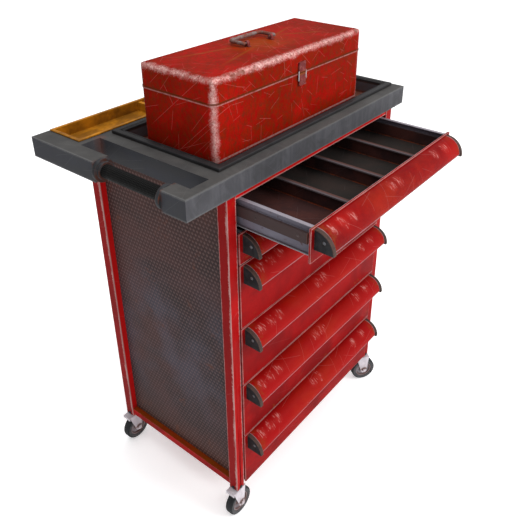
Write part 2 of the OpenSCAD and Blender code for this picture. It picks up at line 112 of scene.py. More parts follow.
class Shader:
    """One material, and the few node patterns that the materials here are made of.

    A pattern is the output of a node, and a method takes numbers and patterns alike.
    """

    def __init__(self, name):
        self.material = bpy.data.materials.new(name)
        self.material.use_nodes = True
        self.tree = self.material.node_tree
        self.tree.nodes.clear()
        out = self.tree.nodes.new("ShaderNodeOutputMaterial")
        self.surface = self.tree.nodes.new("ShaderNodeBsdfPrincipled")
        self.tree.links.new(self.surface.outputs[0], out.inputs[0])
        self.at = self.node("ShaderNodeTexCoord").outputs["Object"]
        self.x, self.y, self.z = self.split(self.at)
        self.normal = self.node("ShaderNodeNewGeometry").outputs["Normal"]
        self.facing = self.split(self.normal)

    def node(self, kind, inputs=None, **settings):
        made = self.tree.nodes.new(kind)
        for key, value in settings.items():
            setattr(made, key, value)
        for key, value in (inputs or {}).items():
            self.put(made.inputs[key], value)
        return made

    def put(self, socket, value):
        if isinstance(value, bpy.types.NodeSocket):
            self.tree.links.new(value, socket)
        else:
            socket.default_value = value

    # numbers

    def split(self, vector):
        return tuple(self.node("ShaderNodeSeparateXYZ", {0: vector}).outputs)

    def join(self, x, y, z):
        return self.node("ShaderNodeCombineXYZ", {0: x, 1: y, 2: z}).outputs[0]

    def math(self, operation, a, b=0.0):
        return self.node("ShaderNodeMath", {0: a, 1: b}, operation=operation).outputs[0]

    def add(self, a, b):
        return self.math("ADD", a, b)

    def less(self, a, b):
        return self.math("SUBTRACT", a, b)

    def times(self, first, *others):
        for other in others:
            first = self.math("MULTIPLY", first, other)
        return first

    def over(self, a, b):
        return self.math("DIVIDE", a, b)

    def top(self, first, *others):
        for other in others:
            first = self.math("MAXIMUM", first, other)
        return first

    def low(self, a, b):
        return self.math("MINIMUM", a, b)

    def size(self, a):
        return self.math("ABSOLUTE", a)

    def part(self, a):
        """What is left of a number after its whole part."""
        return self.math("FRACT", a)

    def length(self, a, b):
        """The length of a line that runs a along and b across."""
        return self.math("SQRT", self.add(self.times(a, a), self.times(b, b)))

    # masks and places

    def step(self, value, start, end):
        """0 at start, 1 at end and smooth between; start may be above end."""
        ends = {0: value, 1: start, 2: end}
        return self.node("ShaderNodeMapRange", ends, interpolation_type="SMOOTHSTEP").outputs[0]

    def band(self, value, centre, half, soft):
        """1 within half of centre, fading out over soft."""
        return self.step(self.size(self.less(value, centre)), half + soft, half)

    def along(self, direction):
        """How far the place lies along a direction."""
        inputs = {0: self.at, 1: direction}
        return self.node("ShaderNodeVectorMath", inputs, operation="DOT_PRODUCT").outputs["Value"]

    def away(self, point):
        """How far the place lies from a point."""
        inputs = {0: self.at, 1: tuple(point)}
        return self.node("ShaderNodeVectorMath", inputs, operation="DISTANCE").outputs["Value"]

    def gap(self, axis, low, high):
        """Distance to the nearer of a box's two faces on one axis, inside the box."""
        from_middle = self.size(self.less((self.x, self.y, self.z)[axis], (low[axis] + high[axis]) / 2))
        return self.less((high[axis] - low[axis]) / 2, from_middle)

    def line_through(self, start, end, half_width):
        """A straight stroke seen from above, which is faint at both ends."""
        run = Vector(end) - Vector(start)
        ahead = run / run.length
        across = Vector((-ahead.y, ahead.x))
        done = self.less(self.along((ahead.x, ahead.y, 0.0)), ahead.dot(Vector(start)))
        off = self.less(self.along((across.x, across.y, 0.0)), across.dot(Vector(start)))
        on = self.step(self.low(done, self.less(run.length, done)), 0.0, run.length * 0.25)
        return self.times(self.step(self.size(off), half_width, 0.001), on)

    def facing_to(self, axis, sign):
        """1 on faces that look along the signed axis, for pieces that don't turn."""
        return self.step(self.times(self.facing[axis], sign), 0.5, 0.8)

    def corner_glow(self, radius):
        """1 near the edges of the shape, 0 away from them."""
        bevel = self.node("ShaderNodeBevel", {"Radius": radius}, samples=6)
        normals = {0: bevel.outputs[0], 1: self.normal}
        dot = self.node("ShaderNodeVectorMath", normals, operation="DOT_PRODUCT")
        return self.step(self.less(1.0, dot.outputs["Value"]), 0.02, 0.30)

    # noise

    def stretch(self, scale, turn=(0, 0, 0)):
        """The place with its axes scaled, then turned by degrees."""
        angles = tuple(math.radians(a) for a in turn)
        inputs = {"Vector": self.at, "Scale": scale, "Rotation": angles}
        return self.node("ShaderNodeMapping", inputs).outputs[0]

    def noise(self, scale, detail=4.0, rough=0.55, twist=0.0, at=None):
        inputs = {"Vector": at or self.at, "Scale": scale, "Detail": detail}
        inputs.update({"Roughness": rough, "Distortion": twist})
        return self.node("ShaderNodeTexNoise", inputs).outputs[0]

    def patches(self, scale, share=0.5, soft=0.12, detail=4.0, rough=0.6, twist=0.3, at=None):
        """Clouds that cover about the given share of the surface."""
        middle = 0.5 + (0.5 - share) * 0.42
        return self.step(self.noise(scale, detail, rough, twist, at), middle - soft, middle + soft)

    def spread(self, least, more, *cloud, **settings):
        """Clouds that never fall under least, and reach least + more."""
        return self.add(least, self.times(self.patches(*cloud, **settings), more))

    def wear(self, distance, width, ragged=0.8, grain=420.0, soft=0.4):
        """A worn band beside an edge at distance 0: solid at the edge, broken up at its border."""
        coarse = self.less(self.noise(grain / 9, 3.0, 0.6), 0.5)
        fine = self.less(self.noise(grain, 4.0, 0.7), 0.5)
        shift = self.times(self.add(self.times(coarse, 1.5), self.times(fine, 1.7)), width * ragged)
        return self.step(self.add(distance, shift), width * (0.8 + soft), width * (0.8 - soft))

    def scratches(self, length, pitch, thick, share, directions):
        """Thin straight scratches. Some cells of each lattice hold one, each with its own slope."""
        found = []
        for index, (along, across) in enumerate(directions):
            u = self.over(self.along(along), length)
            v = self.over(self.along(across), pitch)
            cell = self.join(self.math("FLOOR", u), self.math("FLOOR", v), 3.7 * index)
            chance = self.node("ShaderNodeTexWhiteNoise", {"Vector": cell}, noise_dimensions="3D")
            first, second, third = self.split(chance.outputs["Color"])
            u_in = self.less(self.part(u), 0.5)
            slope = self.times(self.less(second, 0.5), 1.1)
            line = self.add(self.add(self.times(third, 0.5), 0.25), self.times(u_in, slope))
            away = self.times(self.size(self.less(self.part(v), line)), pitch)
            reach = self.add(self.times(third, 0.25), 0.2)
            ends = self.step(self.less(reach, self.size(u_in)), 0.0, 0.08)
            chosen = self.step(first, share, share - 0.01)
            found.append(self.times(self.step(away, thick, thick * 0.3), ends, chosen))
        return self.top(*found)

    # colour and surface

    def mix(self, share, a, b):
        made = self.node("ShaderNodeMix", data_type="RGBA")
        for socket, value in ((made.inputs[0], share), (made.inputs[6], a), (made.inputs[7], b)):
            self.put(socket, value)
        return made.outputs[2]

    def lay(self, base, *layers):
        """Colours laid one over another; each layer is a mask, its strength and a colour."""
        for mask, strength, colour in layers:
            base = self.mix(self.times(mask, strength), base, colour)
        return base

    def bump(self, height, strength=0.3, distance=0.001):
        made = self.node("ShaderNodeBump", {"Height": height, "Strength": strength, "Distance": distance})
        self.put(self.surface.inputs["Normal"], made.outputs[0])

    def finish(self, colour, rough, metal=0.0, shine=0.2):
        self.put(self.surface.inputs["Base Color"], colour)
        self.put(self.surface.inputs["Roughness"], rough)
        self.put(self.surface.inputs["Metallic"], metal)
        self.put(self.surface.inputs["Specular IOR Level"], shine)
        return self.material


# directions along and across the scratches of each lattice
ALL_WAYS = (
    ((0.80, 0.45, 0.40), (-0.35, 0.62, 0.70)),
    ((0.62, -0.55, -0.56), (0.50, 0.30, 0.81)),
    ((0.25, 0.40, 0.88), (0.85, -0.52, 0.10)),
    ((0.93, 0.20, -0.30), (0.20, 0.70, 0.68)),
)
TWO_WAYS = ALL_WAYS[:2]


# ---- mesh building ----


def piece(name, mesh, body, material):
    """A piece of the visual model, which rides on a body of the frame."""
    made = bpy.data.objects.new(name, mesh)
    bpy.context.scene.collection.objects.link(made)
    mesh.materials.append(material)
    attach(made, body)


def from_bmesh(name, build, fix_normals=True):
    mesh = bpy.data.meshes.new(name)
    shape = bmesh.new()
    build(shape)
    if fix_normals:
        bmesh.ops.recalc_face_normals(shape, faces=shape.faces)
    for face in shape.faces:
        face.smooth = True
    shape.to_mesh(mesh)
    shape.free()
    return mesh


def paint(node, material):
    slots = NODES[node].data.materials
    slots.clear()
    slots.append(material)


def round_edges(node, width):
    """Small real radii on a CAD node's sharp edges."""
    made = NODES[node]
    weld = made.modifiers.new("weld", "WELD")
    weld.merge_threshold = 0.00002
    bevel = made.modifiers.new("round", "BEVEL")
    bevel.width = width
    bevel.segments = 2
    bevel.limit_method = "ANGLE"
    bevel.angle_limit = math.radians(30.0)
    bevel.harden_normals = True
    bevel.use_clamp_overlap = True


# ---- camera, light, floor ----


def hold_shift_here(camera, index, value):
    """The frame is off centre, but only from the camera's own place: any other view is centred."""
    driver = camera.data.driver_add(("shift_x", "shift_y")[index]).driver
    driver.type = "SCRIPTED"
    place = driver.variables.new()
    place.name = "x"
    place.type = "TRANSFORMS"
    place.targets[0].id = camera
    place.targets[0].transform_type = "LOC_X"
    driver.expression = f"{value} if abs(x - {CAMERA_AT[0]}) < 0.001 else 0.0"


def make_camera():
    camera = bpy.data.objects.new("camera", bpy.data.cameras.new("camera"))
    camera.location = CAMERA_AT
    camera.rotation_euler = tuple(math.radians(a) for a in CAMERA_TURN)
    camera.data.lens = CAMERA_LENS
    camera.data.sensor_width = 36.0
    for index, value in enumerate(CAMERA_SHIFT):
        hold_shift_here(camera, index, value)
    bpy.context.scene.collection.objects.link(camera)
    bpy.context.scene.camera = camera


def make_sky():
    """White light that is stronger from one side. The backdrop itself looks white from everywhere."""
    world = bpy.data.worlds.new("studio")
    world.use_nodes = True
    tree = world.node_tree
    background = tree.nodes["Background"]
    background.inputs[0].default_value = (1.0, 1.0, 1.0, 1.0)
    aim = tree.nodes.new("ShaderNodeVectorMath")
    aim.operation = "DOT_PRODUCT"
    aim.inputs[1].default_value = SKY_FROM
    tree.links.new(tree.nodes.new("ShaderNodeTexCoord").outputs["Generated"], aim.inputs[0])
    fade = tree.nodes.new("ShaderNodeMapRange")
    for socket, value in ((1, -1.0), (2, 1.0), (3, SKY_DIM), (4, SKY_BRIGHT)):
        fade.inputs[socket].default_value = value
    tree.links.new(aim.outputs["Value"], fade.inputs[0])
    seen = tree.nodes.new("ShaderNodeMath")
    seen.operation = "MAXIMUM"
    tree.links.new(tree.nodes.new("ShaderNodeLightPath").outputs["Is Camera Ray"], seen.inputs[0])
    tree.links.new(fade.outputs[0], seen.inputs[1])
    tree.links.new(seen.outputs[0], background.inputs[1])
    bpy.context.scene.world = world
    bpy.context.scene.view_settings.view_transform = "Standard"


def area_light(name, at, size, power):
    """A round soft light that looks at the middle of the object."""
    low, high = CAD_BOX
    aim = Vector(((low.x + high.x) / 2, (low.y + high.y) / 2, LIGHT_AIM_Z))
    light = bpy.data.lights.new(name, "AREA")
    light.shape = "DISK"
    light.size = size
    light.energy = power
    made = bpy.data.objects.new(name, light)
    made.location = at
    made.rotation_euler = (aim - Vector(at)).to_track_quat("-Z", "Y").to_euler()
    bpy.context.scene.collection.objects.link(made)


def make_floor():
    def grid(shape):
        bmesh.ops.create_grid(shape, x_segments=1, y_segments=1, size=FLOOR_SIZE)

    floor = bpy.data.objects.new("floor", from_bmesh("floor", grid))
    floor.location = (0, 0, CAD_BOX[0].z)
    bpy.context.scene.collection.objects.link(floor)
    s = Shader("floor")
    tone = s.mix(s.step(s.noise(1.5, 3.0), 0.3, 0.7), rgb(254, 254, 254), rgb(252, 252, 253))
    s.put(s.surface.inputs["Emission Color"], tone)
    s.put(s.surface.inputs["Emission Strength"], 0.40)
    floor.data.materials.append(s.finish(tone, 0.95, shine=0.0))


make_camera()
make_sky()
area_light("key", (1.2, -3.2, 2.4), 2.2, 78.0)
area_light("overhead", (-0.4, -0.2, 3.4), 2.6, 36.0)
make_floor()


# ---- painted steel ----

POST_WIDTH = 0.028
POST_MIDDLE = 0.44  # halfway up the posts, which rust near both ends
LEDGE_TOP = 0.02  # the rusty ledges of the base rails lie under this height


def paint_layers(s, bright, dark, scale=8.0):
    """Uneven old enamel: two reds in clouds, with fine speckle."""
    base = s.mix(s.patches(scale, soft=0.16), bright, dark)
    return s.lay(base, (s.patches(160.0, share=0.4), 0.25, dark))


def painted(s, base, bare, rough=0.55):
    """Finish for enamel: worn places are rougher and lie a little lower."""
    s.bump(s.less(s.times(s.noise(500.0, 3.0), 0.12), bare), 0.3, 0.0005)
    return s.finish(base, s.add(rough, s.times(bare, 0.25)), shine=0.04)


def post_paint():
    """Corner posts: pale worn edges, a ragged pale band along the near edge of each side, painted shade on
    the side faces and painted light on the recess faces that look to the front.
    """
    s = Shader("post_red")
    low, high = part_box("corner_posts")
    x_gap = s.gap(X, low, high)
    y_gap = s.gap(Y, low, high)
    corner = s.top(x_gap, y_gap)
    outer = s.step(s.low(x_gap, y_gap), 0.0030, 0.0015)
    side = s.times(s.step(x_gap, 0.002, 0.001), outer)
    front = s.times(s.less(1.0, side), outer)
    # painted light: the recess faces that look to the front are painted a bright red, as if lit, where the
    # cabinet shades them
    lit_returns = s.times(s.facing_to(Y, -1), s.less(1.0, outer))
    # painted shade: the posts' side faces are painted a darker red
    base = s.lay(paint_layers(s, RED, RED_CLOUD), (side, 0.60, rgb(104, 8, 10)))

    from_near = s.math("MODULO", s.less(s.y, low.y), high.y - low.y - POST_WIDTH)
    upright = s.stretch((1.0, 1.0, 0.22))
    runs = s.spread(0.30, 0.62, 70.0, share=0.55, soft=0.06, detail=5.0, rough=0.7, twist=0.2, at=upright)
    band = s.times(s.wear(from_near, 0.0046, ragged=1.7, grain=150.0, soft=0.25), side, runs)
    from_inner = s.less(POST_WIDTH, corner)
    edges = s.top(s.wear(corner, 0.0016, ragged=0.9), s.wear(from_inner, 0.0022, ragged=1.2, grain=260.0))
    dashes = s.times(s.wear(from_inner, 0.0032, ragged=1.4, grain=130.0), front, 0.7)
    bare = s.top(band, s.times(edges, outer, 0.75), dashes)
    marks = s.scratches(0.16, 0.05, 0.0006, 0.35, TWO_WAYS)
    near_ends = s.step(s.size(s.less(s.z, POST_MIDDLE)), 0.36, 0.46)
    rust = s.times(s.patches(45.0, share=0.22, soft=0.06), near_ends)
    base = s.lay(
        base,
        (lit_returns, 1.0, rgb(184, 20, 20)),
        (marks, 0.15, PALE_DULL),
        (rust, 0.5, RUST),
        (bare, 1.0, PALE_DULL),
    )
    return painted(s, base, bare)


def rail_paint():
    """Frame rails: dark, with rusty ledges. The upper front rail is bright and has a pale rubbed line."""
    s = Shader("rail_red")
    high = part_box("frame_rails")[1]
    glow = s.times(s.corner_glow(0.003), s.patches(120.0, share=0.6))
    ledge = s.times(s.facing_to(Z, 1), s.step(s.z, LEDGE_TOP + 0.01, LEDGE_TOP))
    rust = s.top(s.times(ledge, s.spread(0.65, 0.35, 50.0)), s.times(s.patches(30.0, share=0.15), 0.6))
    upper = s.times(s.facing_to(Y, -1), s.step(s.z, high.z - 0.040, high.z - 0.030))
    line = s.times(upper, s.wear(s.less(s.z, high.z - 0.026), 0.0032, grain=260.0))
    base = s.lay(
        paint_layers(s, RED_DARK, RED),
        (upper, 1.0, rgb(190, 18, 18)),
        (line, 0.7, PALE_DULL),
        (glow, 0.6, PALE_DULL),
        (rust, 1.0, RUST_ORANGE),
    )
    return painted(s, base, glow)


def sheet_paint(name, node, bright, dark, width):
    """Painted sheet, darker towards its foot, whose edges are rubbed pale over a width."""
    s = Shader(name)
    low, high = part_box(node)
    edge = s.top(s.gap(Y, low, high), s.low(s.gap(X, low, high), s.gap(Z, low, high)))
    rim = s.times(s.wear(edge, width, ragged=1.1, grain=300.0), 0.62)
    marks = s.scratches(0.14, 0.06, 0.0006, 0.3, TWO_WAYS)
    rust = s.times(s.patches(40.0, share=0.12, soft=0.05), s.step(edge, 0.04, 0.0))
    base = s.lay(
        paint_layers(s, bright, dark),
        (s.step(s.z, high.z, low.z), 0.30, RED_DARK),
        (marks, 0.08, PALE_DULL),
        (rust, 0.7, RUST),
        (rim, 1.0, PALE_DULL),
    )
    return painted(s, base, rim)


# hands have rubbed the pulls at these places, at one turn from level, over this length and turn
SCUFFS = (-0.266, -0.232, -0.200, -0.034, -0.004, 0.180, 0.230)
SCUFF_TURN = math.radians(58)
SCUFF_LENGTH = 0.020
SCUFF_SPREAD = 0.50


def pull_paint(number):
    """A quarter-round pull: flecked where hands rub it, warm in the middle and pale along its edges."""
    s = Shader(f"pull_red_{number}")
    low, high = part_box(f"drawer_{number}_pull")
    rise = s.less(s.z, low.z)
    depth = s.less(high.y, s.y)
    turn = s.math("ARCTAN2", rise, depth)
    x_gap = s.gap(X, low, high)

    def spot(place):
        ahead = s.over(s.less(s.x, place), SCUFF_LENGTH)
        around = s.over(s.less(turn, SCUFF_TURN), SCUFF_SPREAD)
        return s.step(s.length(ahead, around), 1.0, 0.2)

    scuff = s.top(*(spot(place) for place in SCUFFS))
    flecks = s.noise(210.0, 3.0, 0.6, 0.3, s.stretch((1.0, 0.30, 0.30), (0, 30, 0)))
    marks = s.times(s.step(s.add(flecks, s.times(scuff, 0.13)), 0.60, 0.82), s.step(scuff, 0.0, 0.3))
    warm = s.times(s.patches(10.0, share=0.45, soft=0.2), s.step(s.size(s.add(s.x, 0.02)), 0.22, 0.05))
    edge = s.top(s.less(high.z - low.z, s.length(rise, depth)), s.low(rise, x_gap))
    rim = s.wear(edge, 0.0022, ragged=0.9, grain=300.0)
    ends = s.times(s.step(x_gap, 0.030, 0.0), s.patches(70.0, share=0.45))
    roof = s.step(turn, math.radians(70), math.radians(88))
    lines = s.scratches(0.10, 0.045, 0.0005, 0.4, ALL_WAYS[:3])
    # painted shade: the top drawer's pull is painted in darker reds than the others
    shaded_top_drawer = number == 1
    bright = RED_FRONT_DARK if shaded_top_drawer else RED_PULL
    dark = RED_PULL if shaded_top_drawer else RED_FRONT
    base = s.lay(
        paint_layers(s, bright, dark, 6.0),
        (warm, 0.40, rgb(160, 46, 20)),
        (roof, 0.35, RED_DARK),
        (lines, 0.08, PALE),
        (scuff, 0.14, rgb(200, 74, 66)),
        (ends, 0.55, RUST),
        (marks, 0.50, rgb(222, 160, 154)),
        (rim, 0.7, LINE_GREY),
    )
    return painted(s, base, s.top(marks, rim), rough=0.50)


# ---- the portable tool box ----

PIN_LOW, PIN_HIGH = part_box("toolbox_hinge_pin")
SEAM = (PIN_LOW.z + PIN_HIGH.z) / 2  # between the tool box and its lid
RUB_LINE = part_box("worktop")[1].z - 0.0025  # the insert's rim rubs the tool box here
# thin rust streaks on the lid, each from one place to another
STREAKS = (
    ((-0.257, -0.131), (0.156, -0.019)),
    ((-0.264, -0.007), (-0.090, -0.056)),
    ((0.028, -0.043), (0.146, -0.125)),
)


def mottled_red(s):
    """Deep red enamel with fine brown mottling."""
    brown = s.patches(95.0, detail=8.0, rough=0.80, at=s.stretch((1.0, 1.0, 0.7)))
    flat = s.stretch((1.0, 1.0, 0.55))
    specks = s.patches(130.0, share=0.42, soft=0.08, detail=5.0, rough=0.7, twist=0.4, at=flat)
    return s.lay(
        paint_layers(s, RED_BOX, RED_BOX_DARK, 9.0),
        (brown, s.spread(0.30, 0.34, 9.0, soft=0.2), OLIVE),
        (s.times(specks, s.add(0.25, brown)), 0.40, RUST_DARK),
    )


def lid_stain(s, low, high):
    """A rust stain under the carrying handle, with a few streaks about it."""
    x_off = s.less(s.x, (low.x + high.x) / 2)
    y_off = s.times(s.less(s.y, (low.y + high.y) / 2), 1.4)
    ragged = s.times(s.less(s.noise(22.0, 5.0), 0.5), 0.16)
    pool = s.times(s.step(s.add(s.length(x_off, y_off), ragged), 0.120, 0.020), 0.6)
    uneven = s.add(0.4, s.times(s.noise(50.0), 0.6))
    streaks = s.top(*(s.line_through(start, end, 0.0055) for start, end in STREAKS))
    return s.top(pool, s.times(streaks, uneven))


def toolbox_paint(node):
    """Mottled red, scratched all over. Its upright and upper edges are rubbed down to a pale primer."""
    s = Shader(f"{node}_red")
    low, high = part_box(node)
    base = mottled_red(s)
    long_lines = s.scratches(0.16, 0.085, 0.00045, 0.20, ALL_WAYS)
    short_lines = s.scratches(0.050, 0.026, 0.00040, 0.32, ALL_WAYS)
    lines = s.top(s.times(long_lines, 0.42), s.times(short_lines, 0.32))
    x_gap = s.gap(X, low, high)
    y_gap = s.gap(Y, low, high)
    upright = s.top(x_gap, y_gap)
    brushed = s.spread(0.22, 0.58, 240.0, share=0.52, soft=0.20, rough=0.7)
    band = s.times(s.wear(upright, 0.0108, ragged=1.1, grain=300.0, soft=0.75), brushed)
    back_corners = s.times(s.step(upright, 0.0130, 0.0090), s.step(s.y, high.y - 0.03, high.y - 0.02))
    seam = s.step(s.size(s.less(s.z, SEAM)), 0.0042, 0.0028)

    if node == "toolbox_lid":
        from_top = s.less(high.z, s.z)
        upper = s.top(s.low(x_gap, y_gap), from_top)
        worn = s.wear(upper, 0.0104, ragged=1.1, grain=300.0, soft=0.75)
        band = s.top(band, s.times(worn, brushed, s.spread(0.5, 0.5, 30.0, share=0.66, soft=0.06)))
        thin = back_corners
        on_top = s.step(from_top, 0.0016, 0.0006)
        base = s.lay(base, (s.times(lid_stain(s, low, high), on_top), 1.0, rgb(128, 60, 16)))
        edge_rust = s.times(worn, s.patches(38.0, share=0.22, soft=0.05))
        seam_rust = s.times(seam, s.spread(0.6, 0.4, 60.0, share=0.6))
        rust = ((s.top(edge_rust, seam_rust), 0.9, rgb(92, 42, 20)),)
    else:
        foot = s.step(s.less(s.z, low.z), 0.0100, 0.0070)
        rub = s.times(s.band(s.z, RUB_LINE, 0.0014, 0.0016), s.facing_to(Y, -1))
        thin = s.top(
            back_corners,
            s.times(seam, s.spread(0.25, 0.45, 90.0, share=0.6)),
            s.times(foot, s.spread(0.35, 0.65, 80.0, share=0.6)),
            s.times(rub, s.spread(0.4, 0.6, 120.0, share=0.6)),
        )
        rust = ()
    base = s.lay(
        base,
        (lines, 1.0, rgb(206, 120, 112)),
        (band, 1.0, PALE),
        (thin, 0.75, PALE_DULL),
        *rust,
    )
    bare = s.top(band, s.times(lines, 0.4))
    s.bump(s.less(s.times(s.noise(300.0, 3.0), 0.15), bare), 0.3, 0.0005)
    return s.finish(base, s.add(0.52, s.times(bare, 0.3)), shine=0.012)


# ---- other surfaces ----


def plain(name, colour, other, rough, metal=0.0, scale=30.0, rust=0.0, edge=None, layers=None, shine=0.12):
    """Moulded or plated surface: two tones in clouds, with optional rust, pale edges and added layers."""
    s = Shader(name)
    base = s.mix(s.patches(scale, soft=0.14), colour, other)
    base = s.lay(base, (s.patches(scale * 7, share=0.35), 0.3, other))
    if edge:
        base = s.lay(base, (s.times(s.corner_glow(0.003), s.patches(150.0, share=0.7)), 0.6, edge))
    if rust:
        spots = s.patches(scale * 1.7, share=rust * 0.6, soft=0.06, detail=6.0, rough=0.7, twist=0.8)
        base = s.lay(base, (spots, 0.85, RUST))
    if layers:
        base = s.lay(base, *layers(s))
    marks = s.scratches(0.06, 0.02, 0.0004, 0.3, TWO_WAYS)
    base = s.lay(base, (marks, 0.04, GREY_PALE))
    grain = s.noise(700.0, 3.0)
    s.bump(s.add(grain, s.times(marks, -0.5)), 0.15, 0.0005)
    return s.finish(base, s.add(rough, s.times(grain, 0.12)), metal, shine)


SLOT_CORNER = (-0.381, 0.1095)  # of the worktop, where the parts tray meets the insert


def worktop_layers(s):
    """Painted shade on the front and left faces, streaked sides, smudges, painted highlights along the edges,
    and rust at the slot's corner and round the collars.
    """
    low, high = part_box("worktop")
    collars_low, collars_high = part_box("handle_collars")
    upright = s.less(1.0, s.size(s.facing[Z]))
    grained = s.stretch((1.0, 1.0, 0.12))
    streaks = s.patches(60.0, share=0.45, soft=0.10, detail=5.0, twist=0.2, at=grained)
    wiped = s.stretch((1.0, 0.5, 1.0), (0, 0, 30))
    smudge = s.patches(14.0, share=0.4, detail=5.0, rough=0.65, twist=1.2, at=wiped)
    outer = s.low(s.gap(X, low, high), s.gap(Y, low, high))
    # painted highlight: a pale line along the worktop's edges
    edge_highlight = s.wear(s.top(s.gap(Z, low, high), outer), 0.0035, grain=200.0)
    from_slot = s.length(s.less(s.x, SLOT_CORNER[0]), s.less(s.y, SLOT_CORNER[1]))
    rusty = s.step(s.add(from_slot, s.times(s.noise(60.0), 0.02)), 0.030, 0.008)
    from_collar = s.low(s.size(s.less(s.y, collars_low.y)), s.size(s.less(s.y, collars_high.y)))
    inner_wall = s.step(s.x, collars_high.x - 0.0005, collars_high.x - 0.0075)
    ring = s.times(s.step(from_collar, 0.007, 0.001), inner_wall, s.patches(60.0))
    return (
        # painted shade: front faces are painted a darker slate, left faces darker still
        (s.facing_to(Y, -1), 0.7, rgb(68, 68, 74)),
        (s.times(streaks, upright), 0.24, rgb(100, 100, 104)),
        (s.facing_to(X, -1), 0.9, SLATE_SHADED_SIDE),
        (smudge, 0.60, SLATE_DARK),
        (edge_highlight, 0.45, rgb(104, 104, 104)),
        (rusty, 0.55, rgb(110, 72, 62)),
        (ring, 0.6, RUST_DARK),
    )


def insert_layers(s):
    """Browned groove; inner walls painted a paler grey, as painted light in the pocket's shade, with rusty
    patches; and a rusty floor, also painted paler as painted light.
    """
    low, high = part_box("tray_insert")
    groove = s.step(s.z, high.z - 0.0055, high.z - 0.0075)
    # painted light: the inner walls and the floor are painted paler than their shade lets them look; the
    # floor's brown is rust
    inner = s.step(s.z, high.z - 0.008, high.z - 0.012)
    walls = s.times(s.step(s.z, high.z - 0.004, high.z - 0.012), s.patches(40.0, share=0.4))
    floor = s.times(s.step(s.z, low.z + 0.012, low.z + 0.004), s.spread(0.45, 0.5, 20.0, share=0.6))
    return (
        (groove, 0.5, rgb(58, 36, 28)),
        (inner, 0.85, rgb(78, 79, 84)),
        (walls, 0.3, rgb(84, 52, 42)),
        (floor, 1.0, rgb(96, 56, 44)),
    )


KNURL_RIDGES = 12.0  # round the grip
KNURL_TURNS = 800.0  # radians of the pattern for each metre along it


def grip_knurl():
    """Black rubber with a fine diamond knurl."""
    s = Shader("grip")
    low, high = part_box("handle_grip")
    middle = (low + high) / 2
    turn = s.times(s.math("ARCTAN2", s.less(s.z, middle.z), s.less(s.x, middle.x)), KNURL_RIDGES)
    left_hand, right_hand = (
        s.math("SINE", s.add(turn, s.times(s.y, sign * KNURL_TURNS))) for sign in (1, -1)
    )
    height = s.times(left_hand, right_hand)
    base = s.mix(s.step(height, -0.4, 0.6), rgb(9, 9, 9), rgb(30, 30, 30))
    base = s.lay(base, (s.patches(40.0, share=0.3), 0.35, rgb(34, 32, 31)))
    s.bump(height, 0.8, 0.0008)
    return s.finish(base, 0.6, shine=0.05)


def collar_layers(s):
    """Rust in the collars' grooves and on their ends."""
    from_end = s.gap(Y, *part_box("handle_collars"))
    groove = s.band(from_end, 0.0088, 0.0004, 0.0008)
    by_grip = s.step(from_end, 0.0131, 0.0138)
    seam = s.times(s.top(groove, by_grip), s.patches(60.0, share=0.6))
    end = s.times(s.step(from_end, 0.0012, 0.0), s.patches(40.0, share=0.4))
    return (seam, 0.7, RUST_DARK), (end, 0.6, RUST)


EMBOSS_PITCH = 0.0105
EMBOSS_REACH = 0.42 * EMBOSS_PITCH  # from a diamond's middle to its corners
EMBOSS_RISE = 0.0012
EMBOSS_SINK = 0.0001


def panel_metal():
    """Dull sheet under a fine staggered embossed pattern: rusty above, bluish in the middle, with a painted
    highlight on each diamond's tip and painted shade in the gaps between them.
    """
    s = Shader("side_metal")
    low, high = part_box("left_side_panel")
    row = s.over(s.z, EMBOSS_PITCH)
    stagger = s.times(s.math("MODULO", s.math("FLOOR", row), 2.0), 0.5)
    u = s.size(s.less(s.part(s.add(s.over(s.y, EMBOSS_PITCH), stagger)), 0.5))
    v = s.size(s.less(s.part(row), 0.5))
    tip = s.step(s.add(u, v), 0.52, 0.18)
    height = s.over(s.less(s.z, low.z), high.z - low.z)
    blue = s.times(s.band(height, 0.40, 0.08, 0.26), s.step(s.noise(4.0, 3.0, 0.6), 0.36, 0.60))
    clouds = s.patches(5.0, soft=0.2, at=s.stretch((1.0, 1.0, 1.6)))
    base = s.lay(
        s.mix(clouds, rgb(76, 48, 47), rgb(46, 36, 38)),
        (blue, 0.70, rgb(78, 76, 90)),
        (s.step(height, 0.66, 1.0), 0.6, rgb(84, 50, 42)),
        (s.step(height, 0.14, 0.0), 0.5, rgb(80, 46, 34)),
    )
    # painted highlight on the diamonds' tips, painted shade in the sunk gaps between them
    raised = s.mix(0.42, base, rgb(132, 106, 102))
    sunk = s.mix(0.35, base, rgb(36, 30, 30))
    rust = s.patches(24.0, share=0.16, soft=0.06, detail=6.0, rough=0.7)
    base = s.lay(sunk, (tip, 0.75, raised), (rust, 0.5, rgb(96, 54, 38)))
    s.bump(tip, 0.5, 0.001)
    return s.finish(base, s.add(0.5, s.times(s.noise(80.0), 0.15)), shine=0.10)


BOX_OUTSIDE = 0.0075  # from the runner bar's outer face to the drawer box's outer side
BOX_INSIDE = 0.0095  # and to its inner side


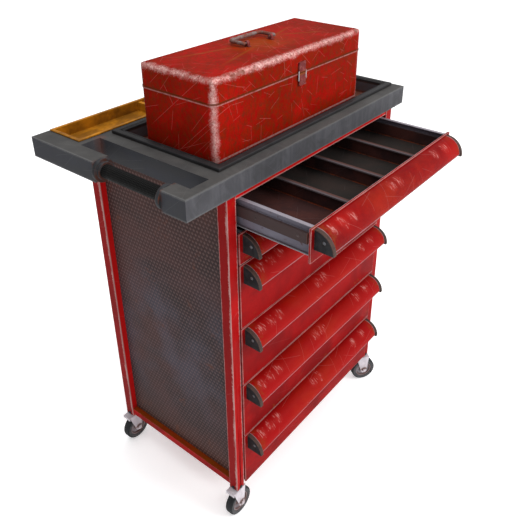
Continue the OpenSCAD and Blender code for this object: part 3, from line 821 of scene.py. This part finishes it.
def box_metal(number):
    """Plated drawer side: pale above and below a dark brown runner bar."""
    s = Shader(f"box_metal_{number}")
    low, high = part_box(f"drawer_{number}_box")
    x_size = s.size(s.x)
    runner = s.step(x_size, high.x - BOX_OUTSIDE, high.x - BOX_OUTSIDE + 0.0007)
    inside = s.step(x_size, high.x - BOX_INSIDE, high.x - BOX_INSIDE - 0.0010)
    bar = s.times(runner, s.step(s.z, low.z + 0.004, low.z + 0.006))
    foot = s.times(runner, s.step(s.z, low.z + 0.004, low.z + 0.003))
    front_end = s.times(s.step(s.y, low.y + 0.009, low.y + 0.005), bar)
    line = s.times(s.step(s.z, low.z + 0.0035, low.z + 0.0015), s.less(1.0, foot))
    rim = s.step(s.z, high.z - 0.0014, high.z - 0.0006)
    clouds = s.patches(14.0, soft=0.2, detail=5.0, at=s.stretch((1.0, 0.3, 1.0)))
    base = s.lay(
        s.mix(clouds, rgb(116, 113, 125), rgb(82, 78, 87)),
        (inside, 0.8, rgb(84, 78, 88)),
        (rim, 0.6, rgb(166, 160, 168)),
        (s.patches(60.0, share=0.14, soft=0.05), 0.7, RUST_DARK),
        (bar, 0.95, BROWN_STEEL),
        (front_end, 0.8, rgb(104, 60, 46)),
        (line, 0.8, rgb(84, 48, 38)),
        (foot, 1.0, rgb(128, 126, 132)),
    )
    s.bump(s.noise(400.0, 3.0), 0.15, 0.0004)
    return s.finish(base, 0.46, 0.05, 0.08)


def cap_moulding(number):
    """Dark end cap whose curved border is worn brown."""
    s = Shader(f"cap_{number}")
    low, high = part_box(f"drawer_{number}_caps")
    radius = high.z - low.z
    out = s.length(s.less(s.z, low.z), s.less(high.y, s.y))
    ragged = s.times(s.less(s.noise(160.0), 0.5), 0.002)
    border = s.step(s.add(out, ragged), radius - 0.0030, radius - 0.0018)
    brown = s.mix(s.patches(90.0), BROWN_RIM, rgb(66, 53, 50))
    edges = s.times(s.corner_glow(0.0015), s.patches(140.0, share=0.6))
    base = s.lay(
        s.mix(s.patches(50.0), rgb(44, 44, 46), rgb(34, 34, 36)),
        (border, 0.9, brown),
        (edges, 0.5, rgb(150, 130, 120)),
    )
    s.bump(s.add(s.noise(500.0), s.times(border, 0.6)), 0.2, 0.0005)
    return s.finish(base, 0.55, shine=0.05)


LINER_CELLS = 4
LINER_WALL = 0.0016


def liner_layers(s):
    """Dark cell floors, rusty beside the dividers, and a paler fold along each divider's top."""
    low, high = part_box("drawer_1_dividers")
    pitch = (high.x - low.x - LINER_WALL) / LINER_CELLS
    cell = s.part(s.over(s.less(s.x, low.x + LINER_WALL / 2), pitch))
    from_middle = s.less(cell, 0.5)
    from_wall = s.times(s.less(0.5, s.size(from_middle)), pitch)
    first_cell = s.step(s.x, low.x + pitch + 0.002, low.x + pitch - 0.002)
    floor = s.step(s.z, low.z + 0.018, low.z + 0.015)
    fold = s.step(s.z, high.z - 0.0045, high.z - 0.0035)
    line = s.times(floor, s.step(from_wall, 0.0040, 0.0015), s.spread(0.3, 0.6, 50.0))
    return (
        (floor, s.less(0.8, s.times(first_cell, 0.4)), s.mix(first_cell, rgb(42, 42, 40), rgb(66, 42, 40))),
        (line, 0.8, rgb(128, 58, 30)),
        (fold, 1.0, s.mix(s.step(from_middle, -0.01, 0.01), rgb(84, 60, 56), rgb(84, 76, 79))),
    )


def bail_layers(s):
    rust = s.patches(60.0, soft=0.05, detail=6.0, rough=0.7)
    return (rust, 0.8, rgb(118, 60, 44)), (s.corner_glow(0.002), 0.2, PALE_DULL)


def latch_layers(s):
    return (
        (s.patches(90.0, share=0.35), 0.5, rgb(150, 84, 80)),
        (s.corner_glow(0.0015), 0.5, rgb(156, 92, 84)),
        (s.band(s.z, SEAM, 0.003, 0.003), 1.0, RUST),
    )


# ---- casters ----


def wheel_round(node):
    """The centre and the radius of a hub or a tyre."""
    low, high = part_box(node)
    return (low + high) / 2, (high.z - low.z) / 2


def fork_layers(s, corner):
    """Rust in an arc over the axle nut, and on the lower ends of the legs."""
    centre = wheel_round(f"caster_{corner}_hub")[0]
    above = s.step(s.z, centre.z - 0.002, centre.z + 0.003)
    arc = s.times(s.band(s.away(centre), 0.0165, 0.0012, 0.0015), above)
    legs = s.times(s.step(s.z, -0.050, -0.075), s.patches(120.0, share=0.4))
    return (legs, 0.5, RUST), (arc, 0.8, rgb(104, 76, 66))


def hub_layers(s, corner):
    """Rust where the hub meets the axle and the tyre."""
    centre, radius = wheel_round(f"caster_{corner}_hub")
    away = s.away(centre)
    ring = s.top(s.band(away, radius - 0.002, 0.001, 0.002), s.step(away, 0.016, 0.012))
    return ((ring, 0.75, rgb(104, 72, 62)),)


def tyre_layers(s, corner):
    """Dusty grey side walls with a brown line where the tyre meets the hub."""
    centre, radius = wheel_round(f"caster_{corner}_tyre")
    away = s.away(centre)
    wall = s.times(s.step(away, radius - 0.001, radius - 0.004), s.patches(50.0, share=0.8))
    inner = s.band(away, 0.7 * radius, 0.0010, 0.0015)
    return (wall, 0.85, rgb(78, 78, 80)), (inner, 0.6, rgb(92, 66, 58))


# ---- every CAD node gets its surface ----


def paint_cabinet():
    paint("corner_posts", post_paint())
    paint("frame_rails", rail_paint())
    paint("base_pan", sheet_paint("pan_red", "base_pan", RED_DARK, RUST_DARK, 0.002))
    paint("back_panel", sheet_paint("back_red", "back_panel", RED, RED_CLOUD, 0.003))
    paint("frame_bolts", plain("bolt", rgb(50, 50, 56), rgb(38, 36, 38), 0.4, 0.5, scale=60.0, rust=0.2))
    paint("slide_rails", plain("slide", rgb(80, 76, 78), rgb(52, 46, 44), 0.45, 0.5, rust=0.4))


def paint_drawers():
    for i in DRAWERS:
        front = f"drawer_{i}_front"
        paint(front, sheet_paint(f"front_red_{i}", front, RED_FRONT, RED_FRONT_DARK, 0.0016))
        paint(f"drawer_{i}_pull", pull_paint(i))
        paint(f"drawer_{i}_box", box_metal(i))
        paint(f"drawer_{i}_caps", cap_moulding(i))
    liner = plain("liner", rgb(74, 44, 40), rgb(52, 36, 36), 0.7, scale=16.0, layers=liner_layers, shine=0.02)
    paint("drawer_1_dividers", liner)


def paint_worktop():
    slate = plain("slate", SLATE, rgb(68, 67, 66), 0.6, scale=12.0, layers=worktop_layers)
    insert = plain(
        "insert", rgb(42, 42, 44), rgb(34, 33, 34), 0.5, scale=20.0,
        edge=rgb(60, 58, 58), layers=insert_layers, shine=0.15,
    )
    collar = plain(
        "collar", rgb(56, 57, 60), rgb(44, 44, 46), 0.5, scale=24.0, rust=0.08,
        edge=rgb(84, 84, 88), layers=collar_layers, shine=0.08,
    )
    paint("worktop", slate)
    paint("tray_insert", insert)
    paint("parts_tray", plain("ochre", OCHRE, OCHRE_DARK, 0.5, scale=14.0, rust=0.25, edge=rgb(206, 142, 50)))
    paint("handle_collars", collar)
    paint("handle_grip", grip_knurl())


def paint_toolbox():
    for node in ("toolbox_base", "toolbox_lid"):
        paint(node, toolbox_paint(node))
    bail = plain(
        "rusty_rod", rgb(128, 112, 110), rgb(100, 84, 80), 0.5, 0.3, scale=60.0, rust=0.2, layers=bail_layers
    )
    paint("bail_handle", bail)
    maroon = plain(
        "maroon", rgb(118, 40, 40), rgb(96, 34, 34), 0.5, 0.1, scale=60.0, rust=0.2, layers=latch_layers
    )
    for node in ("bail_brackets", "latch_plate", "latch_hasp"):
        paint(node, maroon)


def paint_casters():
    for corner in CORNERS:
        fork = plain(
            f"fork_{corner}", rgb(204, 198, 204), rgb(184, 178, 184), 0.45, 0.1, scale=50.0, rust=0.1,
            edge=rgb(220, 216, 220), layers=lambda s: fork_layers(s, corner),
        )
        hub = plain(
            f"hub_{corner}", rgb(150, 144, 150), rgb(118, 110, 114), 0.45, 0.1, scale=60.0, rust=0.2,
            layers=lambda s: hub_layers(s, corner),
        )
        tyre = plain(
            f"tyre_{corner}", rgb(46, 48, 50), rgb(36, 37, 39), 0.6, scale=40.0,
            layers=lambda s: tyre_layers(s, corner),
        )
        paint(f"caster_{corner}_fork", fork)
        paint(f"caster_{corner}_hub", hub)
        paint(f"caster_{corner}_tyre", tyre)


def paint_pins():
    steel = plain("steel", GREY_PALE, rgb(160, 156, 160), 0.35, 0.5, scale=40.0, rust=0.2)
    for node in ("handle_rod", "caster_stems", "toolbox_hinge_pin", "latch_wire"):
        paint(node, steel)


# ---- the side panels' pattern ----


def emboss(shape, face_x, outward, low, high):
    """Rows of small raised diamonds, staggered, on the plane x = face_x."""
    for row in range(math.ceil(low.z / EMBOSS_PITCH), math.floor(high.z / EMBOSS_PITCH)):
        z = (row + 0.5) * EMBOSS_PITCH
        shift = 0.5 if row % 2 else 0.0
        for column in range(math.ceil(low.y / EMBOSS_PITCH), math.floor(high.y / EMBOSS_PITCH)):
            y = (column + 0.5 - shift) * EMBOSS_PITCH
            inside_y = low.y <= y - EMBOSS_REACH and y + EMBOSS_REACH <= high.y
            inside_z = low.z <= z - EMBOSS_REACH and z + EMBOSS_REACH <= high.z
            if inside_y and inside_z:
                diamond(shape, face_x, outward, y, z)


def diamond(shape, face_x, outward, y, z):
    """A low pyramid whose foot lies just inside the sheet."""
    tip = shape.verts.new((face_x + outward * EMBOSS_RISE, y, z))
    foot_x = face_x - outward * EMBOSS_SINK
    ring = [
        shape.verts.new((foot_x, y + y_way * EMBOSS_REACH, z + z_way * EMBOSS_REACH))
        for y_way, z_way in ((1, 0), (0, 1), (-1, 0), (0, -1))
    ]
    for k in range(4):
        a = ring[k]
        b = ring[(k + 1) % 4]
        shape.faces.new((tip, a, b) if outward > 0 else (tip, b, a))


def add_side_panels():
    metal = panel_metal()
    for node, outward in (("left_side_panel", -1), ("right_side_panel", 1)):
        low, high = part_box(node)
        face_x = low.x if outward < 0 else high.x
        name = f"{node}_emboss"
        pattern = from_bmesh(name, lambda shape: emboss(shape, face_x, outward, low, high), fix_normals=False)
        paint(node, metal)
        piece(name, pattern, "cabinet", metal)


# ---- screws and rivets ----

DOME_RINGS = 4
DOME_STEPS = 14
SCREW_RADIUS = 0.0042
SCREW_HEIGHT = 0.0022
SCREW_SINK = 0.0015
RIVET_RADIUS = 0.0034
RIVET_HEIGHT = 0.0010
RIVET_DROP = 0.027  # under the top edge of the drawer's front
RIVET_SHARES = (0.07, 0.33, 0.62, 0.90)  # of the drawer's length, from the front


def dome(shape, centre, radius, height, axis):
    """A low round head that rises along axis from its flat side at centre."""
    turn = Vector(axis).to_track_quat("Z", "Y").to_matrix().to_4x4()
    place = Matrix.Translation(centre) @ turn @ Matrix.Diagonal((radius, radius, height, 1.0))
    rings = []
    for r in range(DOME_RINGS):
        tilt = math.pi / 2 * r / DOME_RINGS
        level = math.cos(tilt)
        ring = []
        for k in range(DOME_STEPS):
            around = 2 * math.pi * k / DOME_STEPS
            out = Vector((level * math.cos(around), level * math.sin(around), math.sin(tilt)))
            ring.append(shape.verts.new(place @ out))
        rings.append(ring)
    tip = shape.verts.new(place @ Vector((0, 0, 1)))
    for r in range(DOME_RINGS):
        for k in range(DOME_STEPS):
            k_next = (k + 1) % DOME_STEPS
            pair = (rings[r][k], rings[r][k_next])
            if r + 1 < DOME_RINGS:
                shape.faces.new((*pair, rings[r + 1][k_next], rings[r + 1][k]))
            else:
                shape.faces.new((*pair, tip))
    shape.faces.new(list(reversed(rings[0])))


def screws(shape, number):
    """One screw in the middle of each end cap."""
    low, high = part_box(f"drawer_{number}_caps")
    half = (high.z - low.z) / 2
    for sign in (-1, 1):
        at = Vector((sign * (high.x - SCREW_SINK), high.y - half, low.z + half))
        dome(shape, at, SCREW_RADIUS, SCREW_HEIGHT, (sign, 0, 0))


def rivets(shape, number):
    """A row of rivets along both sides of a drawer box."""
    low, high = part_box(f"drawer_{number}_box")
    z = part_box(f"drawer_{number}_front")[1].z - RIVET_DROP
    for sign in (-1, 1):
        for share in RIVET_SHARES:
            y = low.y + share * (high.y - low.y)
            dome(shape, Vector((sign * high.x, y, z)), RIVET_RADIUS, RIVET_HEIGHT, (sign, 0, 0))


def add_fasteners():
    screw_steel = plain("screw", rgb(104, 106, 112), rgb(82, 82, 86), 0.45, 0.1, scale=90.0, rust=0.1)
    rivet_steel = plain("rivet", rgb(86, 74, 74), rgb(60, 50, 50), 0.45, 0.2, scale=90.0, rust=0.3)
    for i in DRAWERS:
        for name, build, steel in (("cap_screws", screws, screw_steel), ("rivets", rivets, rivet_steel)):
            heads = from_bmesh(f"drawer_{i}_{name}", lambda shape: build(shape, i))
            piece(f"drawer_{i}_{name}", heads, f"drawer_{i}", steel)


# ---- small radii on sharp edges ----

EDGE_RADII = {
    "worktop": 0.0018,
    "tray_insert": 0.0030,
    "parts_tray": 0.0012,
    "handle_collars": 0.0012,
    "corner_posts": 0.0008,
    "bail_brackets": 0.0006,
    "latch_plate": 0.0005,
    "latch_hasp": 0.0005,
}
EDGE_RADII.update({f"drawer_{i}_{part}": 0.0010 for i in DRAWERS for part in ("front", "caps")})
EDGE_RADII.update({f"caster_{corner}_fork": 0.0004 for corner in CORNERS})
EDGE_RADII.update({f"caster_{corner}_tyre": 0.0012 for corner in CORNERS})


paint_cabinet()
paint_drawers()
paint_worktop()
paint_toolbox()
paint_casters()
paint_pins()
add_side_panels()
add_fasteners()
for node, radius in EDGE_RADII.items():
    round_edges(node, radius)
